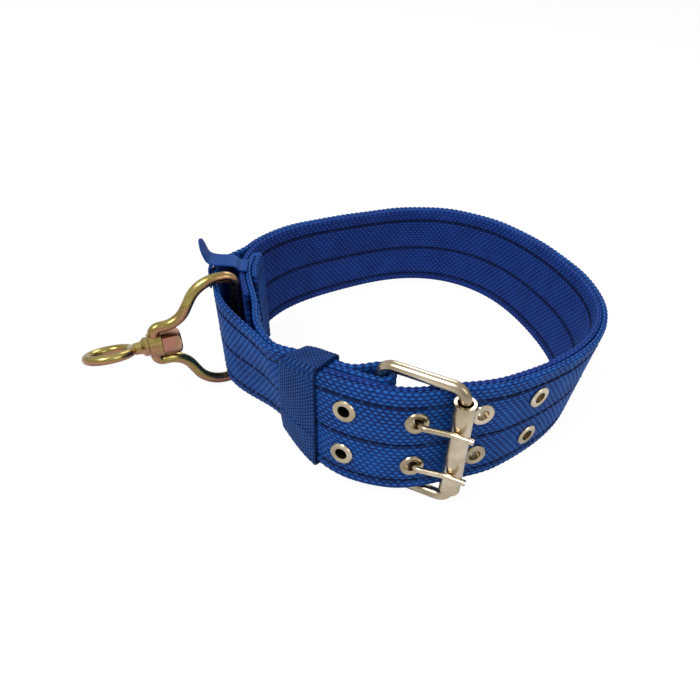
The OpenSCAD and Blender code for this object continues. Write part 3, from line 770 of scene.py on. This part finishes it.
# The nut: the same zinc, pinker, lighter facing up as painted highlight and darker facing down as painted
# shade, and nearly black on the end that faces the strap
nutZinc = {"cloud": 16.7, "distortion": 0.6, "topLightByFacing": 0.15, "smooth": 0.2, "rough": 0.32, "bump": 0.06,
           "end": "#120E10",
           "colours": [(0.35, "#8A5448"), (0.5, "#C08074"), (0.62, "#A88A62"), (0.75, "#D0A090")]}

outerMaterial = wovenMaterial("wovenPolypropyleneOuter", outerCloth, brickPattern)
linerMaterial = wovenMaterial("wovenPolypropyleneInner", linerCloth, brickPattern)
keeperMaterial = wovenMaterial("keeperWebbing", shadedKeeperCloth, brickPattern)
tapeMaterial = wovenMaterial("polyesterTape", tapeCloth, ribPattern)
nickelMaterial = metalMaterial("nickelPlate", nickel)
zincMaterial = metalMaterial("yellowZinc", zinc)
nutMaterial = metalMaterial("zincNut", nutZinc)


def dress(piece, material):
    piece.data.materials.clear()
    piece.data.materials.append(material)


dress(outerWebbing, outerMaterial)
dress(linerWebbing, linerMaterial)
dress(keeperPiece, keeperMaterial)
dress(tapePiece, tapeMaterial)
thread = threadMaterial()
for piece in threadPieces:
    dress(piece, thread)
metals = {"swivel_nut": nutMaterial, "swivel_eye": zincMaterial, "d_ring": zincMaterial}
for node in ["buckle_frame", "roller", "prong_upper", "prong_lower"] + [
        "%s_%d" % (kind, i) for kind in ("eyelets", "washers") for i in (1, 2, 3, 4)]:
    metals[node] = nickelMaterial
for node, material in metals.items():
    for slot in frame["nodes"][node].material_slots:
        slot.material = material
print("materials made")

# What each piece rides on and stands for
soft = [(outerWebbing, "main_strap", "outer_webbing"), (linerWebbing, "liner", "liner_webbing"),
        (keeperPiece, "keeper", "keeper_webbing"), (tapePiece, "tape_loop", "tape")]
soft += [(piece, node, "thread") for piece, node in zip(
    threadPieces, ("top_stitching", "middle_stitching", "bottom_stitching", "end_stitching"))]
for piece, node, slot in soft:
    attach(piece, "collar")
    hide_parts(node)

# Floor, light and camera
floorPaper = {"half": 3.0, "colour": "#F4F4F4", "glow": 1.05, "seen": 0.9}      # half its width in metres


def stage():
    data = bpy.data.meshes.new("floor")
    half, low = floorPaper["half"], cadBox[0][2]
    corners = [(-half, -half, low), (half, -half, low), (half, half, low), (-half, half, low)]
    data.from_pydata(corners, [], [(0, 1, 2, 3)])
    floor = bpy.data.objects.new("floor", data)
    bpy.context.scene.collection.objects.link(floor)
    # Matt paper, which the camera sees almost white, with soft shadows left on it
    material, tree, bsdf = startMaterial("palePaper", Roughness=0.9, Base_Color=linear(floorPaper["colour"]))
    glow = addNode(tree, "Emission", {"Color": linear("#FFFFFF"), "Strength": floorPaper["glow"]}).outputs[0]
    seen = addNode(tree, "LightPath").outputs["Is Camera Ray"]
    amount = addNode(tree, "Math", {0: seen, 1: floorPaper["seen"]}, operation="MULTIPLY").outputs[0]
    mixed = addNode(tree, "MixShader", {0: amount, 1: bsdf.outputs[0], 2: glow}).outputs[0]
    tree.links.new(mixed, tree.nodes["Material Output"].inputs[0])
    data.materials.append(material)


# Place and size in metres, power in watts
softLights = {"key": ((-0.45, -0.55, 1.0), 0.45, 8.5), "fill": ((0.8, -0.5, 0.7), 0.7, 2.5),
              "back": ((0.1, 0.9, 0.8), 0.6, 3.5)}
lightTarget = (0, 0, 0.02)


def softLight(name, place, size, power):
    data = bpy.data.lights.new(name, "AREA")
    data.shape, data.size, data.energy = "DISK", size, power
    lamp = bpy.data.objects.new(name, data)
    bpy.context.scene.collection.objects.link(lamp)
    lamp.location = place
    lamp.rotation_euler = (Vector(lightTarget) - Vector(place)).to_track_quat("-Z", "Y").to_euler()


skyWhite = {"seen": 1.0, "mirrored": 0.7, "soft": 0.3}     # how bright it is to the camera, in metal, on cloth


def studioWorld():
    world = bpy.data.worlds.new("studio")
    bpy.context.scene.world = world
    world.use_nodes = True
    tree = world.node_tree
    background = tree.nodes["Background"]
    background.inputs["Color"].default_value = linear("#FFFFFF")
    ray = addNode(tree, "LightPath").outputs
    through = addNode(tree, "Math", {0: ray["Is Glossy Ray"], 1: ray["Is Transmission Ray"]},
                      operation="MAXIMUM")
    direct = addNode(tree, "Math", {0: ray["Is Camera Ray"], 1: through.outputs[0]}, operation="MAXIMUM")
    clear = addNode(tree, "Math", {0: direct.outputs[0], 1: skyWhite["mirrored"]}, operation="MULTIPLY")
    seen = {0: ray["Is Camera Ray"], 1: skyWhite["seen"] - skyWhite["soft"], 2: skyWhite["soft"]}
    dull = addNode(tree, "Math", seen, operation="MULTIPLY_ADD")
    bright = addNode(tree, "Math", {0: dull.outputs[0], 1: clear.outputs[0]}, operation="MAXIMUM").outputs[0]
    tree.links.new(bright, background.inputs["Strength"])


stage()
for name, (place, size, power) in softLights.items():
    softLight(name, place, size, power)
studioWorld()

# Place in metres, turns in degrees, lens and film in millimetres
cameraSpot = {"place": (-0.012485, -0.267096, 0.20074), "tilt": 54.411, "roll": 5.267,
              "lens": 32.25, "film": 36.0, "shiftX": -0.0536, "shiftY": -0.0109, "near": 0.01}


def aimCamera():
    data = bpy.data.cameras.new("camera")
    camera = bpy.data.objects.new("camera", data)
    bpy.context.scene.collection.objects.link(camera)
    data.lens, data.sensor_width = cameraSpot["lens"], cameraSpot["film"]
    data.shift_x, data.shift_y = cameraSpot["shiftX"], cameraSpot["shiftY"]
    data.clip_start = cameraSpot["near"]
    camera.matrix_world = (Matrix.Translation(cameraSpot["place"])
                           @ Matrix.Rotation(math.radians(cameraSpot["tilt"]), 4, "X")
                           @ Matrix.Rotation(math.radians(cameraSpot["roll"]), 4, "Z"))
    bpy.context.scene.camera = camera


aimCamera()
bpy.context.scene.view_settings.view_transform = "Standard"
print("stage set")
